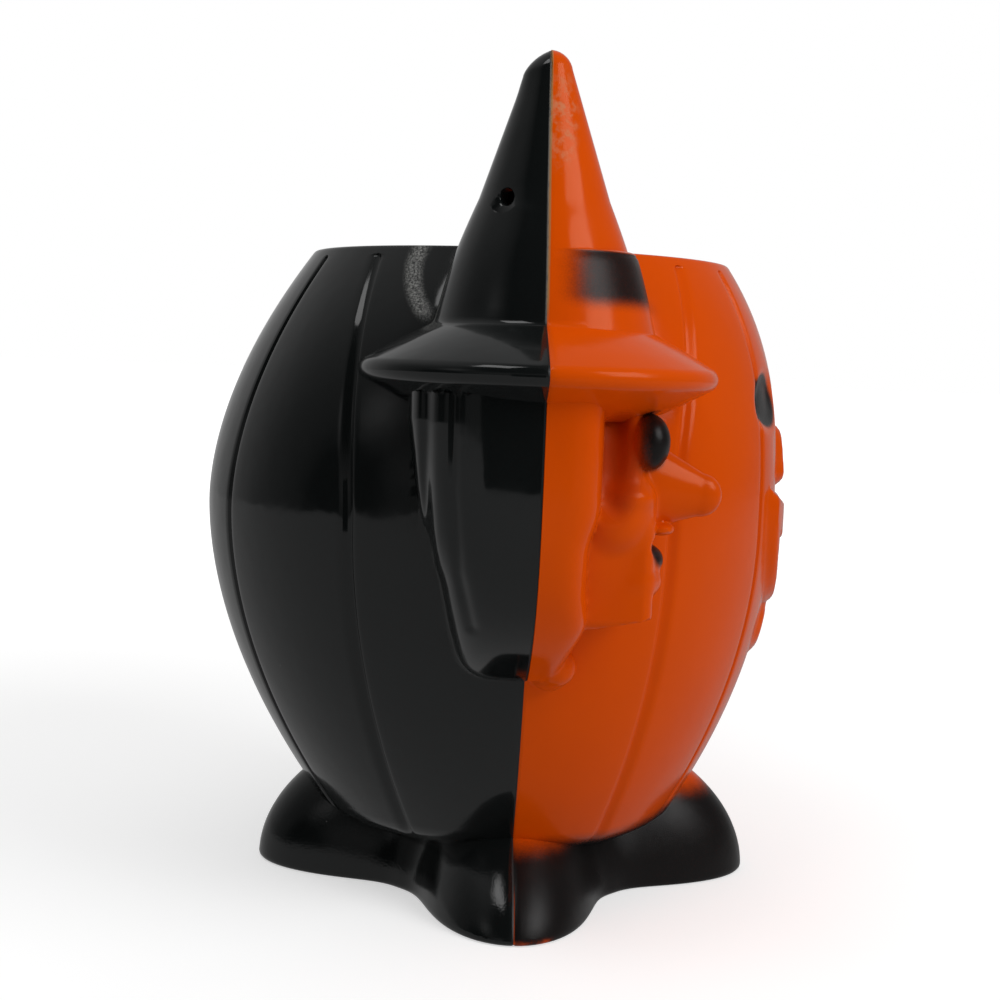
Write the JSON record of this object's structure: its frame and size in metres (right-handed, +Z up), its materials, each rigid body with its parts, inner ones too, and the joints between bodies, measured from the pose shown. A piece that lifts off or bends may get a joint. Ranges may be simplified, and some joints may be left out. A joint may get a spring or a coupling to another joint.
{
  "type": "halloween candy container",
  "caption": "Ribbed pumpkin candy cup in hard plastic, with a jack-o'-lantern face, a witch's head with a pointed hat on each side, and rounded lobed feet.",
  "frame": {"origin": "centre of the cup's outer box, on the surface that its feet stand on", "axes": "+Z up, -Y towards the orange front with the jack-o'-lantern face, +Y towards the black back, a witch's head at each of -X and +X"},
  "size_m": [0.141, 0.095, 0.128],
  "materials": {
    "orange_plastic": "glossy moulded plastic with sprayed black details",
    "black_plastic": "glossy moulded plastic"
  },
  "bodies": {
    "root": {"front_shell": "orange_plastic", "back_shell": "black_plastic"}
  },
  "joints": []
}
